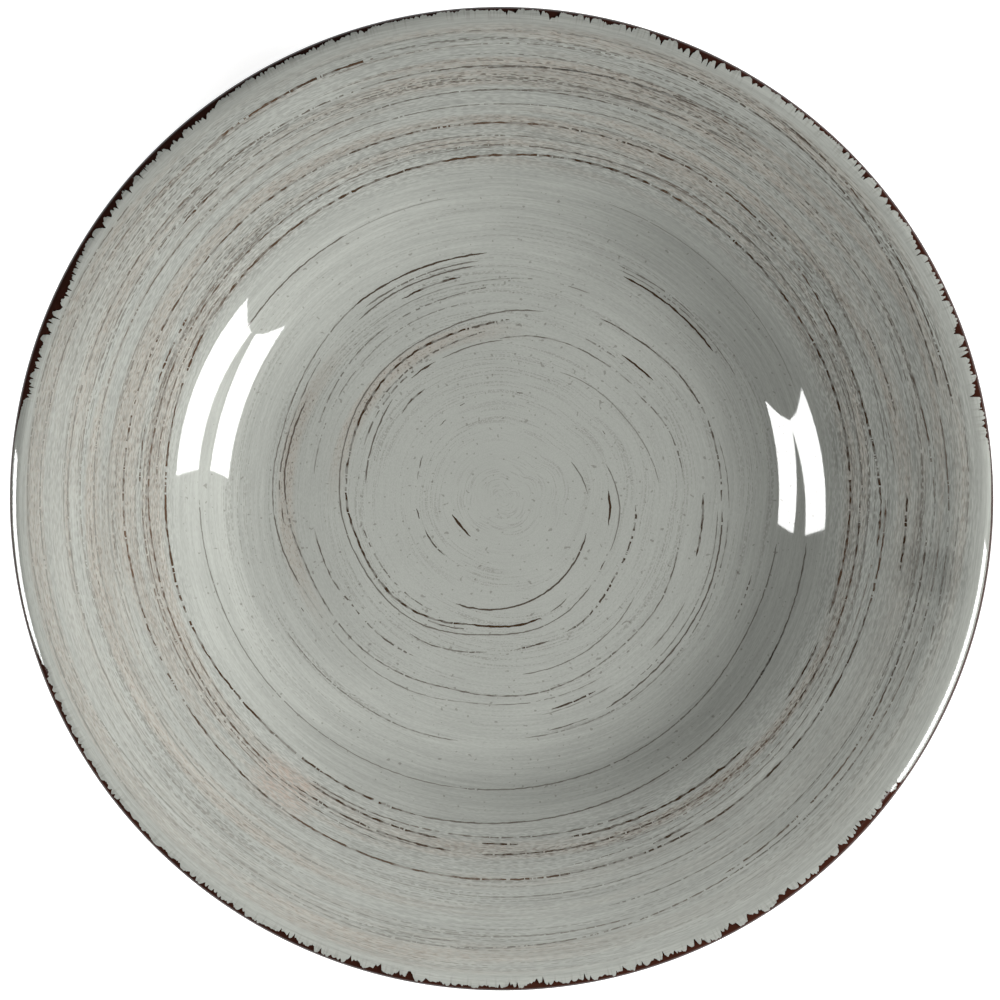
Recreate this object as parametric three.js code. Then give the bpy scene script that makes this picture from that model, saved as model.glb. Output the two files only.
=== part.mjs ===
// Salad plate of glazed stoneware: a clay body on a foot ring, a dark brown coat over its face and lip,
// and a grey-green coat brushed over the brown one, whose outer edge is ragged.
// Millimetres and degrees, +Z up, with the origin on the table under the plate's centre.

import * as THREE from 'three';
import { mergeGeometries, mergeVertices } from 'three/addons/utils/BufferGeometryUtils.js';

// Clay body
const PLATE_DIAMETER = 210;
const CLAY_THICKNESS = 4.2;
const FLOOR_RADIUS = 46.5; // flat middle of the well
const COVE_RADIUS = 30.5; // hollow curve from the floor to the wall
const WALL_ANGLE = 36; // steepest slope of the well's wall
const SHOULDER_RADIUS = 38; // round curve from the wall to the flange
const FLANGE_ANGLE = 14; // slope of the broad flange
const BEND_RADIUS = 20; // round bend from the flange to the level rim
const LEVEL_RIM = 1.85; // flat part of the rim
const CREST_RADIUS = 3.2; // round outer corner of the level rim
const CREST_FALL = 37; // slope outward where the crest meets the lip's round edge

// Foot ring
const FOOT_OUTSET = 10.25; // how far it stands outside the flat floor
const FOOT_WIDTH = 5.5;
const FOOT_EDGE_RADIUS = 0.9; // round edges of the rest face
const FOOT_WALL = 1.2; // straight part of its inner side
const FOOT_FILLET = 1.5; // hollow corners between the ring and the underside

// Fired coats
const BASE_COAT = 0.3; // thickness of the brown coat and of the coats underneath
const BRUSHED_COAT = 0.35; // thickness of the grey coat on the face
const BROWN_BAND = 6; // how far the brown coat reaches onto the back
const BARE_WALL = 0.6; // clay left bare above the foot's round edge

// Ragged edge of the brushed coat, as shares of the facet where the crest falls outward
const EDGE_NEAR = 0.15;
const EDGE_FAR = 0.95;
const EDGE_WAVES = [[2, 1.8], [23, 1.3], [37, 4.1], [61, 0.4], [89, 2.6]]; // cycles a turn, phase

// Facets of the round forms
const TURN_STEPS = 48;
const COVE_STEPS = 4;
const SHOULDER_STEPS = 4;
const BEND_STEPS = 2;
const CREST_STEPS = 2;
const LIP_STEPS = 2;
const FILLET_STEPS = 2;
const EDGE_STEPS = 2;
const RAGGED_STEPS = 6; // ragged points on each facet of the turn

const wall = THREE.MathUtils.degToRad(WALL_ANGLE);
const flange = THREE.MathUtils.degToRad(FLANGE_ANGLE);
const fall = THREE.MathUtils.degToRad(CREST_FALL);
const quarter = Math.PI / 2;

const footOuter = FLOOR_RADIUS + FOOT_OUTSET;
const footInner = footOuter - FOOT_WIDTH;
const recessHeight = FOOT_EDGE_RADIUS + FOOT_WALL + FOOT_FILLET;
const floorHeight = recessHeight + CLAY_THICKNESS;
const glazeLine = FOOT_EDGE_RADIUS + BARE_WALL;

// The section is drawn in radius and height, from the recess's centre round the lip to the face's centre.

const at = (radius, height) => new THREE.Vector2(radius, height);

function polar(centre, radius, angle) {
  return at(centre.x + radius * Math.cos(angle), centre.y + radius * Math.sin(angle));
}

function arc(centre, radius, from, to, steps) {
  const points = [];
  for (let step = 0; step <= steps; step++) {
    points.push(polar(centre, radius, from + (to - from) * step / steps));
  }
  return points;
}

const coveCentre = at(FLOOR_RADIUS, floorHeight + COVE_RADIUS);
const shoulderCentre = polar(coveCentre, COVE_RADIUS + SHOULDER_RADIUS, wall - quarter);

// The lip's round edge fills the clay's thickness under the crest, and its coat reaches the plate's diameter.
const crestTurn = Math.cos(fall + flange);
const bendDrop = BEND_RADIUS * (1 - Math.cos(flange)) + LEVEL_RIM * Math.sin(flange);
const crestDrop = CREST_RADIUS * (Math.cos(flange) - crestTurn);
const edgeRadius = (CLAY_THICKNESS - bendDrop - crestDrop) / (1 + crestTurn);
const crestReach = PLATE_DIAMETER / 2 - BASE_COAT - edgeRadius - (CREST_RADIUS - edgeRadius) * Math.sin(fall);

// The bend touches the flange's upper side, and the level rim runs from the bend to the crest.
const bendReach = crestReach - LEVEL_RIM;
const underFlange = polar(shoulderCentre, SHOULDER_RADIUS - BEND_RADIUS, flange + quarter);
const bendCentre = at(bendReach, underFlange.y + (bendReach - underFlange.x) * Math.tan(flange));
const crestCentre = at(crestReach, bendCentre.y + BEND_RADIUS - CREST_RADIUS);
const edgeCentre = polar(crestCentre, CREST_RADIUS - edgeRadius, quarter - fall);

// The hollow corner outside the foot ring touches the ring's side and the round underside of the cove.
const underCoveRadius = COVE_RADIUS + CLAY_THICKNESS;
const filletX = footOuter + FOOT_FILLET;
const filletDrop = Math.sqrt((underCoveRadius + FOOT_FILLET) ** 2 - (filletX - coveCentre.x) ** 2);
const filletCentre = at(filletX, coveCentre.y - filletDrop);
const filletAngle = coveCentre.clone().sub(filletCentre).angle();

// Each stretch of the section can be drawn a coat's depth outside the clay.

function recessLine(depth) {
  const corner = at(footInner - FOOT_FILLET, recessHeight - FOOT_FILLET);
  return [
    at(0, recessHeight - depth),
    ...arc(corner, FOOT_FILLET - depth, quarter, 0, FILLET_STEPS),
    at(footInner - depth, glazeLine),
  ];
}

function footLine() {
  const innerEdge = at(footInner + FOOT_EDGE_RADIUS, FOOT_EDGE_RADIUS);
  const outerEdge = at(footOuter - FOOT_EDGE_RADIUS, FOOT_EDGE_RADIUS);
  return [
    ...arc(innerEdge, FOOT_EDGE_RADIUS, 2 * quarter, 3 * quarter, EDGE_STEPS),
    ...arc(outerEdge, FOOT_EDGE_RADIUS, 3 * quarter, 4 * quarter, EDGE_STEPS),
  ];
}

function bandEnd(depth) {
  const lipUnderside = polar(edgeCentre, edgeRadius + depth, flange - quarter);
  return polar(lipUnderside, -BROWN_BAND, flange);
}

function backLine(depth) {
  const shoulderRadius = SHOULDER_RADIUS - CLAY_THICKNESS - depth;
  return [
    at(footOuter + depth, glazeLine),
    ...arc(filletCentre, FOOT_FILLET - depth, 2 * quarter, filletAngle, FILLET_STEPS),
    ...arc(coveCentre, underCoveRadius + depth, filletAngle - 2 * quarter, wall - quarter, COVE_STEPS).slice(1),
    ...arc(shoulderCentre, shoulderRadius, wall + quarter, flange + quarter, SHOULDER_STEPS).slice(1),
    bandEnd(depth),
  ];
}

function lipLine(depth) {
  return [
    ...arc(edgeCentre, edgeRadius + depth, flange - quarter, 0, LIP_STEPS),
    ...arc(edgeCentre, edgeRadius + depth, 0, quarter - fall, LIP_STEPS).slice(1),
  ];
}

function rimLine(depth) {
  return [
    ...arc(crestCentre, CREST_RADIUS + depth, quarter - fall, quarter, CREST_STEPS).slice(1),
    ...arc(bendCentre, BEND_RADIUS + depth, quarter, flange + quarter, BEND_STEPS),
  ];
}

function faceLine(depth) {
  return [
    ...arc(shoulderCentre, SHOULDER_RADIUS + depth, flange + quarter, wall + quarter, SHOULDER_STEPS),
    ...arc(coveCentre, COVE_RADIUS - depth, wall - quarter, -quarter, COVE_STEPS).slice(1),
    at(0, floorHeight + depth),
  ];
}

// A lathe turns its section about Y, so every solid is stood up along +Z.

function turned(section) {
  return new THREE.LatheGeometry(section, TURN_STEPS).rotateX(quarter);
}

function stoneware() {
  const face = [...lipLine(0), ...rimLine(0), ...faceLine(0)];
  return turned([...recessLine(0), ...footLine(), ...backLine(0), ...face]);
}

function brownCoat() {
  const line = (depth) => [bandEnd(depth), ...lipLine(depth), ...rimLine(depth), ...faceLine(depth)];
  return turned([...line(0).reverse(), ...line(BASE_COAT)]);
}

function backCoat() {
  const outside = backLine(BASE_COAT);
  return turned([...outside, ...backLine(0).reverse(), outside[0]]);
}

function recessCoat() {
  return turned([...recessLine(BASE_COAT), ...recessLine(0).reverse()]);
}

// The brushed coat covers the face and most of the crest. Its edge wanders in and out on the crest's last facet.

function edgeReach(turn) {
  let sum = 0;
  for (const [cycles, phase] of EDGE_WAVES) {
    sum += Math.sin(cycles * turn + phase);
  }
  const share = 0.5 + 0.5 * sum / EDGE_WAVES.length;
  return EDGE_NEAR + (EDGE_FAR - EDGE_NEAR) * share;
}

function onTurn(point, turn) {
  return new THREE.Vector3(point.x * Math.sin(turn), -point.x * Math.cos(turn), point.y);
}

function raggedEdge(depths) {
  const facets = depths.map((depth) => [rimLine(depth)[0], lipLine(depth).at(-1)]);
  const triangles = [];
  for (let step = 0; step < TURN_STEPS; step++) {
    const turns = [step, step + 1].map((count) => 2 * Math.PI * count / TURN_STEPS);
    const [under, over] = facets.map(([near, far]) => {
      const rim = turns.map((turn) => onTurn(near, turn));
      const tips = [];
      for (let part = 0; part <= RAGGED_STEPS; part++) {
        const across = part / RAGGED_STEPS;
        const reach = edgeReach(turns[0] + across * (turns[1] - turns[0]));
        const tip = near.clone().lerp(far, reach);
        tips.push(onTurn(tip, turns[0]).lerp(onTurn(tip, turns[1]), across));
      }
      return { rim, tips };
    });
    const middle = RAGGED_STEPS / 2;
    triangles.push([over.rim[0], over.tips[middle], over.rim[1]]);
    triangles.push([under.rim[0], under.rim[1], under.tips[middle]]);
    for (let part = 0; part < RAGGED_STEPS; part++) {
      const side = part < middle ? 0 : 1;
      const next = part + 1;
      triangles.push([over.rim[side], over.tips[part], over.tips[next]]);
      triangles.push([under.rim[side], under.tips[next], under.tips[part]]);
      triangles.push([under.tips[part], under.tips[next], over.tips[part]]);
      triangles.push([under.tips[next], over.tips[next], over.tips[part]]);
    }
  }
  return new THREE.BufferGeometry().setFromPoints(triangles.flat());
}

function brushedCoat() {
  const depths = [BASE_COAT, BASE_COAT + BRUSHED_COAT];
  const [under, over] = depths.map((depth) => [...rimLine(depth), ...faceLine(depth)]);
  const sheets = [turned(under.reverse()), turned(over)].map((sheet) => sheet.toNonIndexed());
  const pieces = [...sheets, raggedEdge(depths)];
  pieces.forEach((piece) => ['normal', 'uv'].forEach((name) => piece.deleteAttribute(name)));
  const coat = mergeVertices(mergeGeometries(pieces));
  coat.computeVertexNormals();
  return coat;
}

const clay = new THREE.MeshStandardMaterial({ color: 0xb39b80, roughness: 0.85, metalness: 0 });
const brownGlaze = new THREE.MeshStandardMaterial({ color: 0x38190f, roughness: 0.2, metalness: 0 });
const greyGlaze = new THREE.MeshStandardMaterial({ color: 0x9da09a, roughness: 0.15, metalness: 0 });

const plate = new THREE.Group();

function add(name, geometry, material) {
  const mesh = new THREE.Mesh(geometry, material);
  mesh.name = name;
  plate.add(mesh);
}

add('stoneware_body', stoneware(), clay);
add('brown_base_glaze', brownCoat(), brownGlaze);
add('grey_face_glaze', brushedCoat(), greyGlaze);
add('grey_back_glaze', backCoat(), greyGlaze);
add('foot_recess_glaze', recessCoat(), greyGlaze);

export default plate;
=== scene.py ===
"""Dresses a stoneware salad plate: clay, glossy coats with a ragged brushed edge, and brush lines."""

import math

import bpy
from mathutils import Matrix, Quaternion, Vector


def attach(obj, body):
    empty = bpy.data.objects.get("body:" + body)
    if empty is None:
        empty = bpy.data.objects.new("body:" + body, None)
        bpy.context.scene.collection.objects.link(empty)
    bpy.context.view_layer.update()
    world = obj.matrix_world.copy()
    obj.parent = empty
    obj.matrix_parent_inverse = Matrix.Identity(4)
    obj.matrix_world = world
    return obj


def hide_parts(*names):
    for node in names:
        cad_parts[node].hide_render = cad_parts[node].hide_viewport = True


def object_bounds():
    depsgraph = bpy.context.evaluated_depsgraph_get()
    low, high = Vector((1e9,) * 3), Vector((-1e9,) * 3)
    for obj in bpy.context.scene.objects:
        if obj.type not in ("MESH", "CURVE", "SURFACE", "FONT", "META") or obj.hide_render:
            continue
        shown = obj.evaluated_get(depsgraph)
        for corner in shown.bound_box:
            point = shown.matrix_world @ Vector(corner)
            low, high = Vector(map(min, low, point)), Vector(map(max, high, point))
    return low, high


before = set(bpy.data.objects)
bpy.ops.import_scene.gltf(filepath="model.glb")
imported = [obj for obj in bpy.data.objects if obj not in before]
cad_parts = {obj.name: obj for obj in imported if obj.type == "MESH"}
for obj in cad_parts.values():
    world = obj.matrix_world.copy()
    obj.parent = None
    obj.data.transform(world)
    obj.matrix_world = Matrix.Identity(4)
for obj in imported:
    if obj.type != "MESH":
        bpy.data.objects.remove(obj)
cad_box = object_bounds()

MM = 0.001

# Section of the plate in millimetres and degrees, as in the solids
PLATE_RADIUS = cad_box[1].x / MM
CLAY_THICKNESS = 4.2
FLOOR_RADIUS = 46.5
COVE_RADIUS = 30.5
WALL_ANGLE = 36.0
SHOULDER_RADIUS = 38.0
FLANGE_ANGLE = 14.0
BEND_RADIUS = 20.0
LEVEL_RIM = 1.85
CREST_RADIUS = 3.2
CREST_FALL = 37.0
FOOT_OUTSET = 10.25
FOOT_WIDTH = 5.5
FOOT_EDGE_RADIUS = 0.9
FOOT_WALL = 1.2
FOOT_FILLET = 1.5
BASE_COAT = 0.3
BRUSHED_COAT = 0.35
BROWN_BAND = 6.0
BARE_WALL = 0.6

# Brush lines lie this far above the grey coat, at the height of the solid coat's face
LINE_LIFT = 0.02
COATS = BASE_COAT + BRUSHED_COAT - LINE_LIFT

# Fineness of the turned pieces
COVE_STEPS = 9
SHOULDER_STEPS = 7
HIDDEN_STEPS = 4
LIP_STEPS = 6
BEND_STEPS = 3
HIDDEN_BEND_STEPS = 2
CREST_STEPS = 5
FILLET_STEPS = 5
PLAIN_TURN_STEPS = 288
FACE_TURN_STEPS = 720
RAGGED_TURN_STEPS = 7200
SHARP_EDGE = 60.0
WELD_DISTANCE = 0.001

# Photograph's view
IMAGE_SIDE = 1000.0
OUTLINE_HALF_WIDTH = 492.3
CAMERA_LEAN = (2.16, 1.75)
CAMERA_DISTANCE = 1.2
SENSOR_WIDTH = 36.0

wall = math.radians(WALL_ANGLE)
flange = math.radians(FLANGE_ANGLE)
fall = math.radians(CREST_FALL)
QUARTER = math.pi / 2
TURN = 2 * math.pi

foot_outer = FLOOR_RADIUS + FOOT_OUTSET
foot_inner = foot_outer - FOOT_WIDTH
recess_height = FOOT_EDGE_RADIUS + FOOT_WALL + FOOT_FILLET
floor_height = recess_height + CLAY_THICKNESS
glaze_line = FOOT_EDGE_RADIUS + BARE_WALL


# Section lines, each a list of radius and height, drawn a coat's depth outside the clay

def polar(centre, radius, angle):
    return (centre[0] + radius * math.cos(angle), centre[1] + radius * math.sin(angle))


def arc(centre, radius, start, end, steps):
    return [polar(centre, radius, start + (end - start) * step / steps) for step in range(steps + 1)]


cove_centre = (FLOOR_RADIUS, floor_height + COVE_RADIUS)
shoulder_centre = polar(cove_centre, COVE_RADIUS + SHOULDER_RADIUS, wall - QUARTER)
crest_turn = math.cos(fall + flange)
bend_drop = BEND_RADIUS * (1 - math.cos(flange)) + LEVEL_RIM * math.sin(flange)
crest_drop = CREST_RADIUS * (math.cos(flange) - crest_turn)
edge_radius = (CLAY_THICKNESS - bend_drop - crest_drop) / (1 + crest_turn)
crest_reach = PLATE_RADIUS - BASE_COAT - edge_radius - (CREST_RADIUS - edge_radius) * math.sin(fall)
bend_reach = crest_reach - LEVEL_RIM
under_flange = polar(shoulder_centre, SHOULDER_RADIUS - BEND_RADIUS, flange + QUARTER)
bend_centre = (bend_reach, under_flange[1] + (bend_reach - under_flange[0]) * math.tan(flange))
crest_centre = (crest_reach, bend_centre[1] + BEND_RADIUS - CREST_RADIUS)
edge_centre = polar(crest_centre, CREST_RADIUS - edge_radius, QUARTER - fall)
under_cove_radius = COVE_RADIUS + CLAY_THICKNESS
fillet_x = foot_outer + FOOT_FILLET
fillet_drop = math.sqrt((under_cove_radius + FOOT_FILLET) ** 2 - (fillet_x - cove_centre[0]) ** 2)
fillet_centre = (fillet_x, cove_centre[1] - fillet_drop)
fillet_angle = math.atan2(fillet_drop, cove_centre[0] - fillet_x)


def recess_line(depth):
    corner = (foot_inner - FOOT_FILLET, recess_height - FOOT_FILLET)
    fillet = arc(corner, FOOT_FILLET - depth, QUARTER, 0, FILLET_STEPS)
    return [(0, recess_height - depth), *fillet, (foot_inner - depth, glaze_line)]


def foot_line():
    inner = (foot_inner + FOOT_EDGE_RADIUS, FOOT_EDGE_RADIUS)
    outer = (foot_outer - FOOT_EDGE_RADIUS, FOOT_EDGE_RADIUS)
    return [
        *arc(inner, FOOT_EDGE_RADIUS, 2 * QUARTER, 3 * QUARTER, FILLET_STEPS),
        *arc(outer, FOOT_EDGE_RADIUS, 3 * QUARTER, 4 * QUARTER, FILLET_STEPS),
    ]


def band_end(depth):
    return polar(polar(edge_centre, edge_radius + depth, flange - QUARTER), -BROWN_BAND, flange)


def back_line(depth):
    cove_start = fillet_angle - 2 * QUARTER
    shoulder = SHOULDER_RADIUS - CLAY_THICKNESS - depth
    return [
        (foot_outer + depth, glaze_line),
        *arc(fillet_centre, FOOT_FILLET - depth, 2 * QUARTER, fillet_angle, FILLET_STEPS),
        *arc(cove_centre, under_cove_radius + depth, cove_start, wall - QUARTER, COVE_STEPS)[1:],
        *arc(shoulder_centre, shoulder, wall + QUARTER, flange + QUARTER, SHOULDER_STEPS)[1:],
        band_end(depth),
    ]


def lip_line(depth):
    return [
        *arc(edge_centre, edge_radius + depth, flange - QUARTER, 0, LIP_STEPS),
        *arc(edge_centre, edge_radius + depth, 0, QUARTER - fall, LIP_STEPS)[1:],
        *arc(crest_centre, CREST_RADIUS + depth, QUARTER - fall, QUARTER, CREST_STEPS)[1:],
    ]


def bend_line(depth, steps=BEND_STEPS):
    return arc(bend_centre, BEND_RADIUS + depth, QUARTER, flange + QUARTER, steps)


def face_line(depth, cove_steps=COVE_STEPS, shoulder_steps=SHOULDER_STEPS):
    return [
        *arc(shoulder_centre, SHOULDER_RADIUS + depth, flange + QUARTER, wall + QUARTER, shoulder_steps),
        *arc(cove_centre, COVE_RADIUS - depth, wall - QUARTER, -QUARTER, cove_steps)[1:],
        (0, floor_height + depth),
    ]


# The photograph's view point, from which the outline's plane is seen

view_line = Vector((*(math.tan(math.radians(lean)) for lean in CAMERA_LEAN), 1)).normalized()
outline_height = edge_centre[1] * MM
view_point = Vector((0, 0, outline_height)) + view_line * CAMERA_DISTANCE


# Node trees, written as formulas

# How far apart in a noise two seeds lie, in two directions
SEED_STEPS = (7.3, 3.1)


class Wire:
    """One output of a node. Arithmetic on wires adds Math nodes to their tree."""

    def __init__(self, socket):
        self.socket = socket
        self.tree = socket.id_data

    def math(self, operation, *others):
        return put(self.tree, "ShaderNodeMath", self, *others, operation=operation)

    def __add__(self, other):
        return self.math("ADD", other)

    def __sub__(self, other):
        return self.math("SUBTRACT", other)

    def __rsub__(self, other):
        return put(self.tree, "ShaderNodeMath", other, self, operation="SUBTRACT")

    def __mul__(self, other):
        return self.math("MULTIPLY", other)

    def __truediv__(self, other):
        return self.math("DIVIDE", other)

    def __pow__(self, other):
        return self.math("POWER", other)

    __radd__ = __add__
    __rmul__ = __mul__


def put(tree, kind, *values, named=None, out=0, **settings):
    """Adds a node, feeds its inputs in order and by name, and returns the wire of one output."""
    node = tree.nodes.new(kind)
    for name, value in settings.items():
        setattr(node, name, value)
    feeds = list(zip(node.inputs, values))
    feeds += [(node.inputs[name], value) for name, value in (named or {}).items()]
    for socket, value in feeds:
        if isinstance(value, Wire):
            tree.links.new(value.socket, socket)
        elif value is not None:
            socket.default_value = value
    return Wire(node.outputs[out])


def vector(tree, x, y, z):
    return put(tree, "ShaderNodeCombineXYZ", x, y, z)


def parts(whole):
    """The three components of a vector."""
    node = put(whole.tree, "ShaderNodeSeparateXYZ", whole).socket.node
    return [Wire(output) for output in node.outputs]


def scaled(whole, share):
    return put(whole.tree, "ShaderNodeVectorMath", whole, named={"Scale": share}, operation="SCALE")


def added(first, second):
    return put(first.tree, "ShaderNodeVectorMath", first, second, operation="ADD")


def largest(*wires):
    """The largest of several values."""
    first, *others = wires
    for other in others:
        first = first.math("MAXIMUM", other)
    return first


def ramp(value, low, high, to_low=0.0, to_high=1.0, smooth=True):
    """A clamped ramp from to_low to to_high while value goes from low to high."""
    kind = "SMOOTHSTEP" if smooth else "LINEAR"
    return put(value.tree, "ShaderNodeMapRange", value, low, high, to_low, to_high, interpolation_type=kind)


def band(value, start, full, fading, end):
    """One from full to fading, with a soft start and a soft end."""
    return ramp(value, start, full) * ramp(value, end, fading)


def noise(place, detail=0.0, scale=1.0):
    return put(place.tree, "ShaderNodeTexNoise", named={"Vector": place, "Scale": scale, "Detail": detail})


def ridge(values, gain):
    """Sharp crests where a noise passes its middle value."""
    return (1 - (values - 0.5).math("ABSOLUTE") * gain).math("MAXIMUM", 0.0)


def round_noise(direction, height, cells, seed, detail=0.0):
    """Noise that closes on itself round the plate, with about this many cells a turn."""
    apart = vector(direction.tree, *(seed * step for step in SEED_STEPS), height)
    return noise(added(scaled(direction, cells / TURN), apart), detail)


def lobe(direction, degrees, reach):
    """One in this direction, fading to none as many degrees away as it reaches."""
    heading = (*polar((0, 0), 1, math.radians(degrees)), 0.0)
    bearing = put(direction.tree, "ShaderNodeVectorMath", direction, heading, operation="DOT_PRODUCT", out=1)
    return ramp(bearing, math.cos(math.radians(reach)), 1.0)


def lobes(direction, sides):
    """Several lobes added up, each as degrees, reach and share."""
    return sum(lobe(direction, degrees, reach) * share for degrees, reach, share in sides)


def broad_lobe(direction, degrees, reach, full, foot=0.05):
    """A lobe that is one over its whole middle, wherever a plain one is over this share."""
    return ramp(lobe(direction, degrees, reach), foot, full)


# The lathe: turns a section, and lets the brushed coat's edge wander over the lip

LATHE_INPUTS = [
    ("Section", "NodeSocketGeometry", None),
    ("Turn Steps", "NodeSocketInt", PLAIN_TURN_STEPS),
    ("Crest Centre", "NodeSocketVector", (crest_centre[0] * MM, 0.0, crest_centre[1] * MM)),
    ("Crest Radius", "NodeSocketFloat", CREST_RADIUS * MM),
    ("Edge Centre", "NodeSocketVector", (edge_centre[0] * MM, 0.0, edge_centre[1] * MM)),
    ("Edge Radius", "NodeSocketFloat", edge_radius * MM),
    ("Crest Fall", "NodeSocketFloat", fall),
    ("Level Rim", "NodeSocketFloat", LEVEL_RIM * MM),
    ("Lip Radius", "NodeSocketFloat", PLATE_RADIUS * MM),
    ("Border", "NodeSocketFloat", 0.58 * MM),
    ("Border Thinning", "NodeSocketFloat", 0.27 * MM),
    ("Worn Border", "NodeSocketFloat", 0.8 * MM),
    ("Cusp Length", "NodeSocketFloat", 1.3 * MM),
    ("Tooth Length", "NodeSocketFloat", 0.55 * MM),
    ("Drip Length", "NodeSocketFloat", 1.3 * MM),
    ("Seed", "NodeSocketFloat", 3.0),
    ("Shown Side", "NodeSocketFloat", 1.0),
    ("Glaze", "NodeSocketMaterial", None),
]

# Sides where the brown border is smooth, less torn, thinner or worn: degrees, reach and, where given, share
SMOOTH_SIDES = [(346, 26), (184, 18)]
MILD_SIDES = [(212, 36, 0.5), (110, 26, 0.4)]
THIN_SIDE = (52, 58)
THINNED_SIDES = [(212, 40, -0.5), (300, 36, 0.4)]
WORN_SIDE = (147, 28)
WORN_PATCHES = 40

# Notches of the ragged edge: how many cells a turn, how narrow and how pointed they are, and a seed
CUSPS = (230, 4.5, 1.6, 2.0)
TEETH = (750, 4.0, 1.4, 3.0)
DRIPS = (330, 13.0, 1.0, 4.0)
GROUPS_PER_NOTCH = 0.3

# The ragged edge's furthest end as a slope of the lip, and its nearest as a share of the level rim
STEEPEST_END = 45.0
NEAREST_END = 0.8

# Half the width and the middle of the shown and the hidden side on the flat map
SHOWN_HALF = 0.49
SHOWN_MIDDLE = 0.5
HIDDEN_HALF = 0.06
HIDDEN_MIDDLE = 0.065

# Faces belong to the shown side down to this lean of their normal
SHOWN_LEAN = -0.2


def new_tree(name, inputs):
    tree = bpy.data.node_groups.new(name, "GeometryNodeTree")
    for label, kind, value in inputs:
        socket = tree.interface.new_socket(label, in_out="INPUT", socket_type=kind)
        if value is not None:
            socket.default_value = value
    tree.interface.new_socket("Mesh", in_out="OUTPUT", socket_type="NodeSocketGeometry")
    start = tree.nodes.new("NodeGroupInput")
    return tree, {label: Wire(start.outputs[label]) for label, _, _ in inputs}


def end_tree(tree, mesh, glaze):
    whole = put(tree, "GeometryNodeRealizeInstances", mesh)
    coated = put(tree, "GeometryNodeSetMaterial", whole, named={"Material": glaze})
    end = tree.nodes.new("NodeGroupOutput")
    tree.links.new(coated.socket, end.inputs["Mesh"])
    return tree


def stored(tree, name):
    return put(tree, "GeometryNodeInputNamedAttribute", name, data_type="FLOAT")


def smooth_edge(direction):
    """One on the sides where the brushed edge runs smooth."""
    return largest(*(broad_lobe(direction, *side, 0.45) for side in SMOOTH_SIDES))


def ragged_reach(direction, given):
    """How far past the crest's middle the brushed coat reaches, as a share of the crest's radius."""
    seed = given["Seed"]
    thin = broad_lobe(direction, *THIN_SIDE, 0.4) + lobes(direction, THINNED_SIDES)
    patchy = ramp(round_noise(direction, seed, WORN_PATCHES, 1.0), 0.3, 0.6, 0.5, 1.0)
    worn = lobe(direction, *WORN_SIDE) * patchy

    def notches(cells, gain, power, number):
        sharp = ridge(round_noise(direction, seed, cells, number), gain) ** power
        groups = round_noise(direction, seed, cells * GROUPS_PER_NOTCH, number + 0.5)
        return sharp * ramp(groups, 0.30, 0.66, 0.2, 1.0)

    torn = notches(*CUSPS) * given["Cusp Length"] + notches(*TEETH) * given["Tooth Length"]
    torn = torn + notches(*DRIPS) * given["Drip Length"]
    torn = torn * (1 - smooth_edge(direction)) * (1 - lobes(direction, MILD_SIDES))
    border = given["Border"] - thin * given["Border Thinning"] + worn * given["Worn Border"] + torn
    beyond_crest = given["Lip Radius"] - border - parts(given["Crest Centre"])[0]
    share = beyond_crest / (given["Crest Radius"] + COATS * MM)
    return share.math("MINIMUM", math.sin(math.radians(STEEPEST_END)))


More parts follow.
